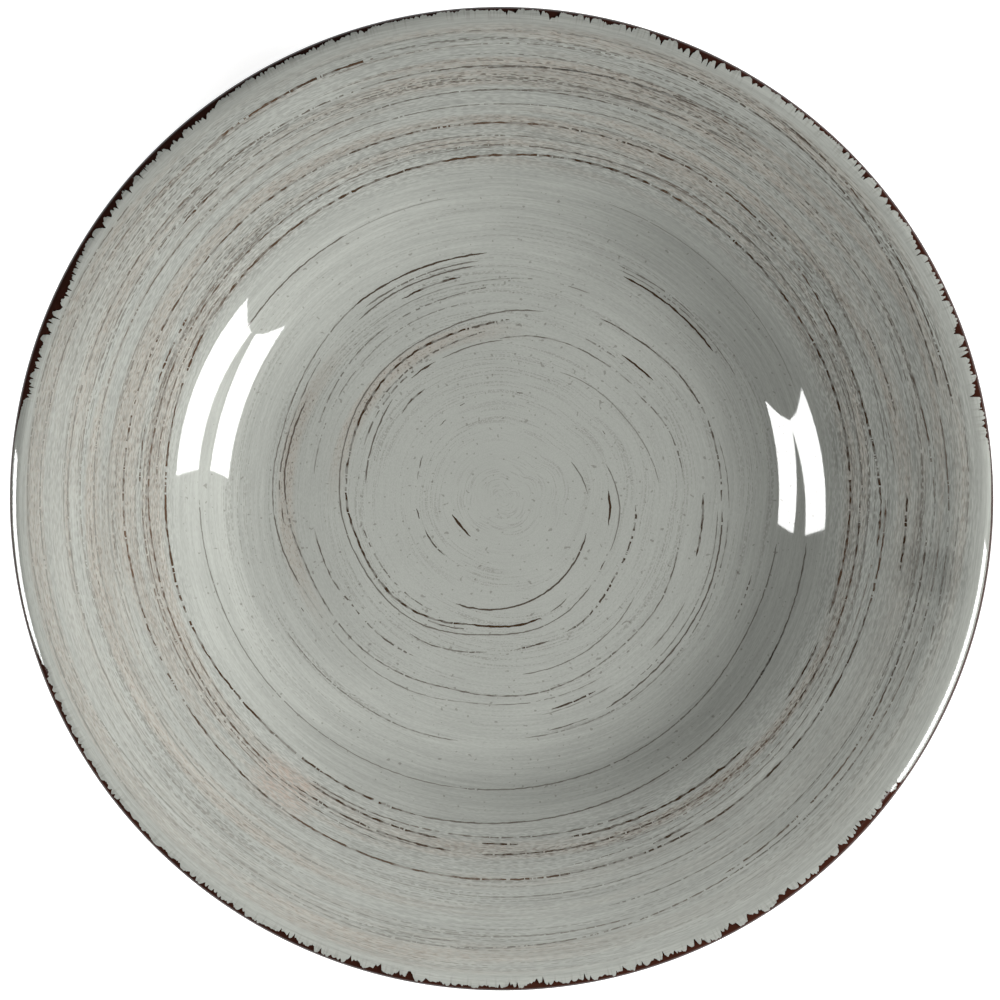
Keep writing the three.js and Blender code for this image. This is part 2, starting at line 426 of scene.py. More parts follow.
def lathe_tree():
    tree, given = new_tree("turned_section", LATHE_INPUTS)
    section = given["Section"]
    rows = put(tree, "GeometryNodeAttributeDomainSize", section, component="MESH")
    columns = given["Turn Steps"] + 1
    blank = put(tree, "GeometryNodeMeshGrid", 1.0, 1.0, rows, columns)
    index = put(tree, "GeometryNodeInputIndex")
    row = (index / columns).math("FLOOR")
    turn = (index - row * columns) * TURN / given["Turn Steps"]
    direction = vector(tree, turn.math("COSINE"), turn.math("SINE"), 0.0)

    def from_section(value, kind):
        return put(tree, "GeometryNodeSampleIndex", section, value, row, data_type=kind, domain="POINT")

    point = from_section(put(tree, "GeometryNodeInputPosition"), "FLOAT_VECTOR")
    share = from_section(stored(tree, "edge_share"), "FLOAT")
    depth = from_section(stored(tree, "coat_depth"), "FLOAT")
    radius, _, height = parts(point)

    # The way along the ragged edge is negative on the level rim, and is the slope past the crest's middle
    crest_bend = given["Crest Radius"] + COATS * MM
    reach = ragged_reach(direction, given)
    end = reach.math("MINIMUM", 0.0) + reach.math("MAXIMUM", 0.0).math("ARCSINE")
    start = given["Level Rim"] / crest_bend * -1.0
    way = start + (end.math("MAXIMUM", start * NEAREST_END) - start) * share
    level = way.math("MINIMUM", 0.0) * crest_bend
    slope = way.math("MAXIMUM", 0.0)
    on_edge = slope.math("GREATER_THAN", given["Crest Fall"])

    def crest_or_edge(crest, edge):
        return crest + (edge - crest) * on_edge

    crest_x, _, crest_z = parts(given["Crest Centre"])
    edge_x, _, edge_z = parts(given["Edge Centre"])
    bend = crest_or_edge(given["Crest Radius"], given["Edge Radius"]) + depth
    ragged_radius = crest_or_edge(crest_x, edge_x) + level + bend * slope.math("SINE")
    ragged_height = crest_or_edge(crest_z, edge_z) + bend * slope.math("COSINE")
    ragged = share.math("GREATER_THAN", 0.0)
    radius = radius + (ragged_radius - radius) * ragged
    height = height + (ragged_height - height) * ragged

    place = added(scaled(direction, radius), vector(tree, 0.0, 0.0, height))
    turned = put(tree, "GeometryNodeSetPosition", blank, named={"Position": place})
    closed = put(tree, "GeometryNodeMergeByDistance", turned, named={"Distance": WELD_DISTANCE * MM})
    outward = put(tree, "GeometryNodeFlipFaces", closed)
    smooth = put(tree, "GeometryNodeSetShadeSmooth", outward)
    sharp = put(tree, "GeometryNodeInputMeshEdgeAngle").math("GREATER_THAN", math.radians(SHARP_EDGE))
    crisp = put(tree, "GeometryNodeSetShadeSmooth", smooth, sharp, False, domain="EDGE")
    return end_tree(tree, planar_map(tree, crisp, given["Shown Side"]), given["Glaze"])


def planar_map(tree, mesh, shown_side):
    """Lays the shown side flat over the whole map, and the hidden side small in a corner."""
    big = SHOWN_HALF / (PLATE_RADIUS * MM)
    small = HIDDEN_HALF / (PLATE_RADIUS * MM)
    normal_up = parts(put(tree, "GeometryNodeInputNormal"))[2]
    shown = (normal_up * shown_side).math("GREATER_THAN", SHOWN_LEAN)
    shown = put(tree, "GeometryNodeFieldOnDomain", shown, data_type="FLOAT", domain="FACE")
    x, y, _ = parts(put(tree, "GeometryNodeInputPosition"))
    scale = small + shown * (big - small)
    middle = HIDDEN_MIDDLE + shown * (SHOWN_MIDDLE - HIDDEN_MIDDLE)
    flat = vector(tree, x * scale + middle, y * scale + middle, 0.0)
    return put(tree, "GeometryNodeStoreNamedAttribute", mesh, named={"Name": "OFBake", "Value": flat},
               data_type="FLOAT2", domain="CORNER")


def section_mesh(name, points, shares=None, depths=None):
    """A section as a line of vertices in the XZ plane, with how far each follows the ragged edge."""
    mesh = bpy.data.meshes.new(name)
    edges = [(i, i + 1) for i in range(len(points) - 1)]
    mesh.from_pydata([(r * MM, 0, z * MM) for r, z in points], edges, [])
    for label, values in (("edge_share", shares), ("coat_depth", depths)):
        attribute = mesh.attributes.new(label, "FLOAT", "POINT")
        attribute.data.foreach_set("value", values or [0.0] * len(points))
    return mesh


def shaped(name, mesh, tree, **inputs):
    """Runs a mesh through a tree and returns the result as a plain mesh object."""
    blank = bpy.data.objects.new(name, mesh)
    bpy.context.collection.objects.link(blank)
    modifier = blank.modifiers.new("shape", "NODES")
    modifier.node_group = tree
    sockets = {item.name: item.identifier for item in tree.interface.items_tree if item.in_out == "INPUT"}
    for label, value in inputs.items():
        modifier[sockets[label.replace("_", " ")]] = value
    evaluated = blank.evaluated_get(bpy.context.evaluated_depsgraph_get())
    finished = bpy.data.meshes.new_from_object(evaluated)
    blank.modifiers.clear()
    blank.data = finished
    finished.name = name
    return blank


# Brush lines: strips of bare brown that the brush left, laid on the brushed coat as seen from the view point

# Steps along a strip in millimetres and along a way in degrees, and from one line's noise to the next
LINE_STEP = 0.2
PATH_STEP = 1.5
START_STEP = 17.3

# Width in millimetres, share that is unbroken, and the way as degrees round and shares of the radius
BRUSH_LINES = [
    # Round the shoulder and over the flange
    (0.42, 0.70, [(236, 0.696), (247, 0.698), (260, 0.700)]),
    (0.42, 0.75, [(267, 0.700), (273, 0.701)]),
    (0.46, 0.78, [(282, 0.701), (292, 0.704), (300, 0.706), (315, 0.708)]),
    (0.42, 0.70, [(325, 0.708), (336, 0.707)]),
    (0.47, 0.70, [
        (341, 0.7065), (351, 0.708), (360, 0.7105), (367, 0.712), (380, 0.713), (391, 0.710),
        (407, 0.708), (427, 0.709), (440, 0.7055), (450, 0.700), (460, 0.697), (479, 0.6936),
        (497, 0.694), (507, 0.6926),
    ]),
    (0.40, 0.70, [
        (510, 0.692), (521, 0.6875), (540, 0.6815), (556, 0.681), (565, 0.677), (574, 0.669),
        (582, 0.6647), (592, 0.663), (615, 0.664),
    ]),
    (0.31, 0.80, [
        (615, 0.664), (625, 0.660), (640, 0.6545), (652, 0.651), (676, 0.643), (690, 0.636), (712, 0.628),
    ]),
    (0.36, 0.62, [(323, 0.6395), (330, 0.636), (335, 0.634)]),
    (0.44, 0.70, [(-1, 0.773), (6, 0.767), (11, 0.762), (17, 0.760), (25, 0.7605), (34, 0.764)]),
    (0.30, 0.54, [(92, 0.8775), (78, 0.8835), (67, 0.892), (60, 0.901), (54, 0.904)]),
    (0.26, 0.50, [(88, 0.831), (73, 0.8487), (65, 0.856), (56, 0.868)]),
    (0.30, 0.62, [(38, 0.797), (34, 0.797), (26, 0.791)]),
    (0.38, 0.66, [
        (34, 0.764), (40, 0.7665), (46, 0.7715), (54, 0.774), (61, 0.7745), (68, 0.7695), (74, 0.767),
        (87, 0.7655), (112, 0.7665), (132, 0.771), (150, 0.770), (180, 0.768), (192, 0.764),
        (201, 0.7633), (222, 0.7655), (230, 0.769), (250, 0.773), (282, 0.7735), (295, 0.776),
        (309, 0.780), (341, 0.7786), (360, 0.782),
    ]),
    (0.24, 0.60, [
        (4, 0.804), (12, 0.798), (24, 0.7956), (32, 0.799), (42, 0.8065), (52, 0.811), (62, 0.812),
        (70, 0.810), (87, 0.804), (110, 0.803), (137, 0.804), (180, 0.799), (201, 0.7946), (217, 0.796),
        (230, 0.8007), (250, 0.806), (287, 0.811), (305, 0.814),
    ]),
    (0.30, 0.55, [
        (62, 0.839), (77, 0.8337), (95, 0.832), (131, 0.832), (150, 0.833), (165, 0.832), (180, 0.828),
        (205, 0.826), (221, 0.827), (234, 0.830), (245, 0.8313),
    ]),
    (0.28, 0.50, [(37, 0.868), (52, 0.864), (60, 0.860), (70, 0.855), (80, 0.852)]),
    (0.28, 0.50, [
        (95, 0.8585), (125, 0.859), (144, 0.861), (162, 0.860), (180, 0.856), (190, 0.853), (199, 0.852),
        (217, 0.8544), (227, 0.856),
    ]),
    (0.40, 0.60, [(132, 0.855), (139, 0.855)]),
    (0.32, 0.55, [
        (54, 0.8915), (62, 0.892), (70, 0.887), (80, 0.883), (87, 0.881), (106, 0.8806), (117, 0.8806),
        (132, 0.883), (145, 0.885), (162, 0.883), (180, 0.881), (196, 0.881), (212, 0.880), (222, 0.8806),
    ]),
    (0.22, 0.55, [(155, 0.8935), (167, 0.8915), (180, 0.890), (195, 0.887)]),
    (0.34, 0.55, [(14, 0.917), (22, 0.920), (32, 0.9265), (42, 0.935), (52, 0.939), (69, 0.938)]),
    (0.24, 0.50, [(69, 0.935), (81, 0.928), (97, 0.925), (112, 0.9255)]),
    (0.48, 0.66, [(106, 0.9316), (112, 0.933), (124, 0.932), (130, 0.928)]),
    (0.28, 0.45, [
        (131, 0.929), (141, 0.933), (156, 0.937), (175, 0.938), (192, 0.9367), (205, 0.935), (212, 0.928),
        (221, 0.921), (234, 0.917), (245, 0.918), (255, 0.919), (265, 0.9155), (272, 0.9105),
        (284, 0.904), (292, 0.898), (302, 0.895), (317, 0.895), (330, 0.894), (355, 0.894),
    ]),
    (0.36, 0.55, [(12, 0.938), (21, 0.9377), (30, 0.942), (37, 0.947), (47, 0.954), (54, 0.957)]),
    (0.22, 0.45, [(54, 0.957), (70, 0.955), (87, 0.9537), (110, 0.951)]),
    (0.26, 0.55, [
        (141, 0.962), (150, 0.964), (162, 0.965), (180, 0.9635), (192, 0.9605), (205, 0.9605),
        (221, 0.964),
    ]),
    (0.36, 0.62, [
        (116, 0.717), (132, 0.719), (150, 0.719), (166, 0.718), (180, 0.7165), (191, 0.713), (205, 0.711),
        (217, 0.713), (229, 0.716),
    ]),
    (0.26, 0.50, [(132, 0.7225), (150, 0.725), (165, 0.722)]),
    (0.38, 0.62, [(234, 0.7174), (241, 0.7174), (250, 0.719), (262, 0.7215)]),
    (0.38, 0.60, [
        (267, 0.723), (275, 0.7215), (282, 0.7225), (292, 0.724), (305, 0.728), (317, 0.730),
        (334, 0.730), (360, 0.730),
    ]),
    (0.28, 0.52, [
        (180, 0.729), (192, 0.7276), (205, 0.728), (221, 0.729), (230, 0.732), (242, 0.7344),
        (252, 0.737),
    ]),
    (0.30, 0.45, [(233, 0.908), (240, 0.9085), (248, 0.9095), (255, 0.908), (265, 0.903)]),
    (0.26, 0.50, [(227, 0.885), (239, 0.887), (250, 0.890), (267, 0.890), (287, 0.890)]),
    (0.34, 0.45, [
        (301, 0.886), (310, 0.884), (317, 0.881), (325, 0.879), (334, 0.872), (342, 0.869), (355, 0.868),
    ]),
    (0.30, 0.48, [(342, 0.917), (351, 0.912), (360, 0.9095), (372, 0.907)]),
    (0.46, 0.45, [(350, 0.8238), (356, 0.8238), (361, 0.825)]),
    (0.24, 0.50, [(285, 0.855), (299, 0.856), (315, 0.8575), (342, 0.8535), (360, 0.857)]),
    (0.46, 0.65, [(294, 0.7655), (301, 0.762)]),
    (0.24, 0.55, [(302, 0.7616), (317, 0.762), (342, 0.762), (352, 0.766)]),
    (0.46, 0.60, [(353, 0.7705), (359, 0.7725)]),
    (0.40, 0.40, [(149, 0.736), (161, 0.736)]),
    (0.34, 0.55, [(0, 0.881), (8, 0.8765), (16, 0.872), (25, 0.869)]),
    (0.34, 0.45, [(12, 0.8205), (25, 0.820)]),
    (0.24, 0.50, [(35, 0.782), (47, 0.7815), (62, 0.7825), (77, 0.7785)]),
    (0.24, 0.50, [(7, 0.7515), (16, 0.749), (30, 0.7475), (37, 0.745)]),
    (0.28, 0.52, [
        (0, 0.736), (5, 0.735), (20, 0.738), (30, 0.733), (45, 0.728), (62, 0.726), (78, 0.7195),
    ]),
    (0.26, 0.50, [(11, 0.7315), (22, 0.730), (33, 0.7295)]),
    (0.26, 0.46, [(38, 0.746), (52, 0.743), (70, 0.742), (82, 0.739), (104, 0.7425), (118, 0.7425)]),
    (0.30, 0.46, [
        (41, 0.7325), (50, 0.7295), (60, 0.730), (70, 0.722), (77, 0.7195), (92, 0.7205), (116, 0.7185),
    ]),
    (0.26, 0.52, [(90, 0.730), (104, 0.7295), (118, 0.729), (131, 0.726), (150, 0.7275), (168, 0.7275)]),
    (0.22, 0.55, [(90, 0.716), (101, 0.715), (116, 0.7125)]),
    (0.34, 0.50, [(168, 0.737), (172, 0.7365), (178, 0.734)]),
    (0.30, 0.50, [(144, 0.704), (156, 0.703), (168, 0.7025), (178, 0.701)]),
    (0.28, 0.52, [
        (189, 0.7235), (200, 0.7215), (214, 0.7205), (226, 0.722), (234, 0.724), (250, 0.7245),
        (258, 0.725),
    ]),
    (0.28, 0.45, [(203, 0.697), (214, 0.695), (228, 0.6955)]),
    (0.30, 0.52, [(236, 0.6885), (246, 0.6885), (261, 0.687), (276, 0.688), (296, 0.6905)]),
    (0.24, 0.50, [(281, 0.7565), (300, 0.753), (318, 0.752), (328, 0.750), (342, 0.744), (360, 0.7485)]),
    (0.26, 0.45, [(282, 0.734), (290, 0.738), (303, 0.7405), (320, 0.7395), (338, 0.742)]),
    # Round the wall
    (0.17, 0.80, [(21, 0.640), (45, 0.641), (70, 0.640)]),
    (0.18, 0.80, [(100, 0.622), (120, 0.6225)]),
    (0.32, 0.95, [(120, 0.6225), (135, 0.623), (146, 0.622)]),
    (0.22, 0.88, [(180, 0.612), (225, 0.601), (262, 0.592)]),
    (0.28, 0.80, [(262, 0.592), (300, 0.581), (318, 0.574), (331, 0.5685), (351, 0.568)]),
    # In the well
    (0.24, 0.62, [(28, 0.5404), (40, 0.5365), (50, 0.532), (63, 0.526)]),
    (0.26, 0.50, [(42, 0.5424), (50, 0.540), (63, 0.5335)]),
    (0.40, 0.95, [(35, 0.527), (41, 0.526), (48, 0.524), (55, 0.521), (61, 0.518)]),
    (0.22, 0.60, [(-2, 0.465), (8, 0.463), (16, 0.4597)]),
    (0.34, 0.62, [
        (-1, 0.4496), (8, 0.451), (16, 0.4515), (24, 0.4513), (30, 0.447), (36, 0.443), (44, 0.4343),
        (50, 0.428), (61, 0.421),
    ]),
    (0.22, 0.50, [(62, 0.4575), (80, 0.454), (95, 0.446), (108, 0.443), (128, 0.438)]),
    (0.40, 0.95, [(38, 0.3945), (44, 0.389), (50, 0.3846)]),
    (0.28, 0.55, [(6, 0.3755), (19, 0.3727), (27, 0.366), (35, 0.3555), (39, 0.352)]),
    (0.28, 0.62, [(41, 0.3565), (48, 0.352), (57, 0.348), (68, 0.345), (80, 0.338), (90, 0.328)]),
    (0.32, 0.40, [(51, 0.372), (62, 0.371)]),
    (0.20, 0.85, [
        (6, 0.325), (14, 0.3195), (24, 0.3117), (34, 0.3036), (45, 0.299), (56, 0.293), (65, 0.287),
    ]),
    (0.38, 0.94, [(93, 0.5025), (101, 0.499), (112, 0.4967), (123, 0.4943), (127, 0.4923)]),
    (0.28, 0.78, [
        (126, 0.4925), (132, 0.488), (138, 0.482), (146, 0.4746), (155, 0.468), (163, 0.464),
        (172, 0.4645), (183, 0.4615),
    ]),
    (0.30, 0.95, [(183, 0.4615), (191, 0.4553), (197, 0.449), (203, 0.4428)]),
    (0.22, 0.70, [
        (203, 0.442), (206, 0.438), (215, 0.434), (231, 0.4333), (239, 0.4313), (248, 0.427),
        (256, 0.4205), (263, 0.417), (280, 0.4165), (300, 0.4145),
    ]),
    (0.30, 0.80, [(95, 0.4872), (103, 0.4848), (112, 0.482), (125, 0.4777)]),
    (0.32, 0.88, [(96, 0.4777), (107, 0.474), (118, 0.4713), (128, 0.4645)]),
    (0.40, 0.38, [(100, 0.460), (108, 0.457), (116, 0.454)]),
    (0.30, 0.72, [(142, 0.462), (149, 0.4567), (154, 0.453), (163, 0.451), (174, 0.451), (180, 0.448)]),
    (0.34, 0.85, [(153, 0.4425), (160, 0.4425), (167, 0.4415), (173, 0.4415), (181, 0.435)]),
    (0.30, 0.62, [
        (181, 0.435), (189, 0.427), (197, 0.4184), (203, 0.4154), (212, 0.4137), (227, 0.4133),
        (238, 0.408), (249, 0.401), (255, 0.3972), (270, 0.399), (280, 0.400), (290, 0.396), (309, 0.387),
        (326, 0.3856), (334, 0.3815), (348, 0.3727),
    ]),
    (0.36, 0.80, [(182, 0.4438), (186, 0.443)]),
    (0.26, 0.45, [(92, 0.434), (105, 0.4245), (129, 0.418), (143, 0.409), (157, 0.399)]),
    (0.22, 0.42, [(98, 0.406), (121, 0.4015), (140, 0.3925), (172, 0.382)]),
    (0.28, 0.92, [
        (77, 0.3925), (82, 0.3885), (88, 0.3842), (93, 0.378), (100, 0.3713), (107, 0.365), (113, 0.3615),
        (124, 0.3578), (134, 0.354), (146, 0.3466), (157, 0.338), (169, 0.3307), (180, 0.3256),
        (189, 0.321), (197, 0.316), (205, 0.3117), (219, 0.3077), (229, 0.3046), (236, 0.3006),
        (247, 0.290), (258, 0.280), (264, 0.2755), (270, 0.2735), (278, 0.2728), (287, 0.2714),
        (298, 0.2667), (308, 0.2596), (317, 0.253),
    ]),
    (0.46, 0.66, [
        (87, 0.3666), (96, 0.3575), (107, 0.350), (119, 0.3466), (129, 0.343), (139, 0.3365),
        (151, 0.328), (159, 0.3222), (170, 0.317), (183, 0.3107), (193, 0.3026), (203, 0.298),
        (216, 0.2945), (222, 0.2928), (233, 0.2846), (240, 0.2782), (250, 0.2674), (257, 0.260),
    ]),
    (0.46, 0.97, [(256, 0.2605), (262, 0.2585), (270, 0.2575), (280, 0.257), (289, 0.2535)]),
    (0.28, 0.85, [(89, 0.3245), (97, 0.320), (104, 0.315), (112, 0.311)]),
    (0.38, 0.90, [(115, 0.310), (126, 0.306)]),
    (0.30, 0.92, [(137, 0.299), (146, 0.2907), (157, 0.283), (173, 0.275)]),
    (0.32, 0.40, [(95, 0.344), (105, 0.334), (115, 0.328), (130, 0.321), (142, 0.316)]),
    (0.30, 0.36, [(116, 0.317), (128, 0.3135), (140, 0.307), (158, 0.298)]),
    (0.38, 0.36, [(124, 0.272), (132, 0.271), (139, 0.265)]),
    (0.26, 0.72, [(212, 0.510), (219, 0.508), (228, 0.506), (240, 0.5034), (248, 0.5024), (260, 0.4973)]),
    (0.42, 0.80, [(208.4, 0.460), (209.6, 0.460)]),
    (0.32, 0.52, [
        (189, 0.3825), (195, 0.380), (205, 0.3778), (210, 0.3737), (215, 0.3696), (229, 0.368),
        (241, 0.363),
    ]),
    (0.30, 0.50, [(236, 0.328), (243, 0.3275), (249, 0.323), (256, 0.318), (265, 0.310)]),
    (0.28, 0.46, [(190, 0.2855), (200, 0.2795), (212, 0.275), (222, 0.2704), (230, 0.268), (241, 0.262)]),
    (0.34, 0.45, [(238, 0.2865), (245, 0.281), (256, 0.2705)]),
    (0.32, 0.62, [(333, 0.535), (338, 0.534), (344, 0.5328)]),
    (0.24, 0.62, [(276, 0.4865), (296, 0.486), (303, 0.4848), (315, 0.480), (337, 0.470), (355, 0.465)]),
    (0.30, 0.72, [(282, 0.479), (292, 0.478)]),
    (0.32, 0.92, [
        (297, 0.4755), (302, 0.4726), (309, 0.4685), (318, 0.4655), (329, 0.4625), (337, 0.4608),
        (345, 0.4567), (350, 0.4547), (357, 0.4514),
    ]),
    (0.24, 0.55, [(308, 0.4564), (320, 0.4535), (332, 0.451), (345, 0.4465), (357, 0.442)]),
    (0.38, 0.92, [(284, 0.438), (289, 0.4364), (296.5, 0.4337)]),
    (0.20, 0.70, [(281, 0.445), (290, 0.4425), (301, 0.4395)]),
    (0.26, 0.80, [(315, 0.4315), (331, 0.4293)]),
    (0.42, 0.75, [(344, 0.415), (349, 0.413), (355, 0.4126), (361.5, 0.4125)]),
    (0.24, 0.85, [
        (276.5, 0.357), (287, 0.3568), (298, 0.354), (307, 0.3493), (316, 0.344), (324, 0.336),
    ]),
    (0.36, 0.42, [(274, 0.307), (281, 0.304), (289, 0.303)]),
    (0.40, 0.46, [
        (297, 0.3005), (304, 0.298), (311, 0.293), (318, 0.287), (326, 0.2805), (337, 0.279),
        (349, 0.2785), (358, 0.2755),
    ]),
    (0.32, 0.88, [(294.5, 0.249), (300, 0.2455), (304, 0.242)]),
    (0.34, 0.85, [(324, 0.248), (330, 0.2467)]),
    (0.36, 0.95, [(247, 0.2295), (270, 0.222), (295, 0.210), (318, 0.198), (339, 0.188)]),
    (0.24, 0.85, [(334, 0.246), (347, 0.2455), (360, 0.242), (379, 0.227)]),
    (0.46, 0.92, [(347, 0.2265), (356, 0.224), (365, 0.220)]),
    (0.26, 0.85, [(4, 0.1785), (16, 0.172), (28, 0.164)]),
    (0.46, 0.80, [(32, 0.252), (34, 0.252)]),
    (0.46, 0.80, [(78, 0.221), (81, 0.221)]),
    (0.40, 0.80, [(110, 0.209), (113, 0.208)]),
    (0.40, 0.70, [(124, 0.196), (129, 0.194)]),
    (0.34, 0.70, [(150, 0.181), (158, 0.177), (166, 0.173)]),
    (0.42, 0.85, [(186, 0.170), (193, 0.168)]),
    (0.34, 0.75, [(202, 0.164), (214, 0.162), (225, 0.159)]),
    (0.52, 0.97, [(197, 0.101), (214, 0.096), (231, 0.096)]),
]


def curve_between(a, b, c, d, t):
    """A value part of the way from b to c on a smooth curve that comes from a and goes on to d."""
    return 0.5 * (2 * b + (c - a) * t + (2 * a - 5 * b + 4 * c - d) * t**2 + (3 * b - a - 3 * c + d) * t**3)


def smooth_way(points):
    """Degrees and shares along a smooth curve through the points."""
    padded = [points[0], *points, points[-1]]
    way = []
    for stretch in zip(padded, padded[1:], padded[2:], padded[3:]):
        start, end = stretch[1], stretch[2]
        steps = max(1, math.ceil(abs(end[0] - start[0]) / PATH_STEP))
        for step in range(steps):
            way.append([curve_between(*values, step / steps) for values in zip(*stretch)])
    return [*way, points[-1]]


def line_paths():
    """All brush lines as chains of vertices in the outline's plane, each with its line's width and cover."""
    places, links, widths, covers, starts = [], [], [], [], []
    for number, (width, cover, points) in enumerate(BRUSH_LINES):
        first = len(places)
        for degrees, share in smooth_way(points):
            radius = share * PLATE_RADIUS * MM
            places.append((*polar((0, 0), radius, math.radians(degrees)), outline_height))
        count = len(places) - first
        links += [(first + step, first + step + 1) for step in range(count - 1)]
        widths += [width * MM] * count
        covers += [cover] * count
        starts += [number * START_STEP] * count
    mesh = bpy.data.meshes.new("brush_line_paths")
    mesh.from_pydata(places, links, [])
    for label, values in (("line_width", widths), ("line_cover", covers), ("line_start", starts)):
        mesh.attributes.new(label, "FLOAT", "POINT").data.foreach_set("value", values)
    return mesh


LINE_INPUTS = [
    ("Paths", "NodeSocketGeometry", None),
    ("Coat", "NodeSocketObject", None),
    ("Edge", "NodeSocketObject", None),
    ("View Point", "NodeSocketVector", tuple(view_point)),
    ("Step", "NodeSocketFloat", LINE_STEP * MM),
    ("Lift", "NodeSocketFloat", LINE_LIFT * MM),
    ("Dash Length", "NodeSocketFloat", 1.0 * MM),
    ("Swell Length", "NodeSocketFloat", 2.0 * MM),
    ("Sway Length", "NodeSocketFloat", 1.6 * MM),
    ("Fading Length", "NodeSocketFloat", 2.2 * MM),
    ("Taper", "NodeSocketFloat", 2.0 * MM),
    ("Faintest Width", "NodeSocketFloat", 0.16 * MM),
    ("Darkest Width", "NodeSocketFloat", 0.4 * MM),
    ("Glaze", "NodeSocketMaterial", None),
]

# Seeds of the noises along a line, added to the line's own start
SWAY_SEED = 5.0
DASH_SEED = 9.0
GAP_SEED = 13.0
FADING_SEED = 21.0

# Long gaps are this many dashes long, and both kinds of break have these shares
GAP_DASHES = 9.0
DASH_SHARE = 0.6
GAP_SHARE = 0.4

# Each sight line starts this share of its length above the outline's plane, and is this many metres long
SIGHT_SHARE_ABOVE = 0.05
SIGHT_LENGTH = 0.3


def line_tree():
    tree, given = new_tree("brush_lines", LINE_INPUTS)
    curves = put(tree, "GeometryNodeMeshToCurve", given["Paths"])
    whole = put(tree, "GeometryNodeSplineLength")
    count = (whole / given["Step"]).math("CEIL") + 1
    marked = put(tree, "GeometryNodeResampleCurve", curves, named={"Count": count}, mode="COUNT")
    along = put(tree, "GeometryNodeSplineParameter", out=1)
    to_end = along.math("MINIMUM", whole - along)
    for name, value in (("line_along", along), ("line_to_end", to_end)):
        marked = put(tree, "GeometryNodeStoreNamedAttribute", marked, named={"Name": name, "Value": value},
                     data_type="FLOAT", domain="POINT")
    wires = put(tree, "GeometryNodeCurveToMesh", marked)
    way, start = stored(tree, "line_along"), stored(tree, "line_start")
    line_width, cover = stored(tree, "line_width"), stored(tree, "line_cover")

    def line_noise(length, seed=0.0, detail=1.0):
        return noise(vector(tree, way / length, start + seed, 0.0), detail)

    # Strips of uneven width, made from the wires
    position = put(tree, "GeometryNodeInputPosition")
    flat = put(tree, "ShaderNodeVectorMath", position, (1.0, 1.0, 0.0), operation="MULTIPLY")
    outward = put(tree, "ShaderNodeVectorMath", flat, operation="NORMALIZE")
    taper = ramp(stored(tree, "line_to_end"), 0.0, given["Taper"], 0.3, 1.0)
    swell = line_noise(given["Swell Length"]) * 1.5 + 0.2
    width = line_width * taper * swell
    sway = (line_noise(given["Sway Length"], SWAY_SEED) - 0.5) * line_width - width / 2
    moved = put(tree, "GeometryNodeSetPosition", wires, named={"Offset": scaled(outward, sway)})
    across = scaled(outward, width)
    strips = put(tree, "GeometryNodeExtrudeMesh", moved, named={"Offset": across, "Offset Scale": 1.0},
                 mode="EDGES")

    # Breaks, more of them where less of a line is covered
    dashes = line_noise(given["Dash Length"], DASH_SEED)
    gaps = line_noise(given["Dash Length"] * GAP_DASHES, GAP_SEED, 0.0)
    level = 0.435 + (0.5 - cover) * 0.25
    bare = (dashes * DASH_SHARE + gaps * GAP_SHARE).math("LESS_THAN", level)
    broken = put(tree, "GeometryNodeDeleteGeometry", strips, bare, domain="FACE")

    # Each point moves along its sight line onto the brushed coat
    sight = put(tree, "ShaderNodeVectorMath", position, given["View Point"], operation="SUBTRACT")
    source = added(position, scaled(sight, -SIGHT_SHARE_ABOVE))
    surface = tree.nodes.new("GeometryNodeJoinGeometry")
    for label in ("Edge", "Coat"):
        coat = put(tree, "GeometryNodeObjectInfo", given[label], out=4)
        tree.links.new(coat.socket, surface.inputs[0])
    hit = put(tree, "GeometryNodeRaycast", Wire(surface.outputs[0]), named={
        "Source Position": source, "Ray Direction": sight, "Ray Length": SIGHT_LENGTH}).socket.node
    missed = Wire(hit.outputs["Is Hit"]).math("LESS_THAN", 0.5)
    met = put(tree, "GeometryNodeDeleteGeometry", broken, missed, domain="POINT")
    lift = scaled(Wire(hit.outputs["Hit Normal"]), given["Lift"])
    resting = added(Wire(hit.outputs["Hit Position"]), lift)
    laid = put(tree, "GeometryNodeSetPosition", met, named={"Position": resting})
    normal_up = parts(put(tree, "GeometryNodeInputNormal"))[2]
    upright = put(tree, "GeometryNodeFlipFaces", laid, normal_up.math("LESS_THAN", 0.0))
    smooth = put(tree, "GeometryNodeSetShadeSmooth", upright)

    # Narrow lines are fainter, and broken ones fade here and there
    strength = ramp(line_width, given["Faintest Width"], given["Darkest Width"], 0.42, 1.0, smooth=False)
    fading = ramp(line_noise(given["Fading Length"], FADING_SEED, 2.0), 0.36, 0.58, 0.45, 1.0)
    tone = strength * largest(fading, ramp(cover, 0.65, 0.85))
    toned = put(tree, "GeometryNodeStoreNamedAttribute", smooth, named={"Name": "line_tone", "Value": tone},
                data_type="FLOAT", domain="POINT")
    return end_tree(tree, planar_map(tree, toned, 1.0), given["Glaze"])


# Finishes

GREY = (0.339, 0.350, 0.321)
TAN = (0.335, 0.302, 0.258)
LINE_BROWN = (0.046, 0.028, 0.017)
LINE_RUST = (0.118, 0.072, 0.046)
DOT_BROWN = (0.080, 0.066, 0.052)
PINK = (0.400, 0.318, 0.262)
BROWN = (0.028, 0.0085, 0.005)
RED_BROWN = (0.046, 0.014, 0.008)
CLAY = (0.42, 0.30, 0.19)
PALE_CLAY = (0.52, 0.41, 0.29)
CLAY_SPECK = (0.10, 0.06, 0.035)
WARM_SPECK = (0.16, 0.11, 0.075)

# Rings of the face in millimetres from the axis: where each starts, is full, fades and ends
FLANGE_RING = (70.0, 75.0, 99.6, 102.2)
SHOULDER_RING = (69.0, 71.5, 77.0, 83.0)

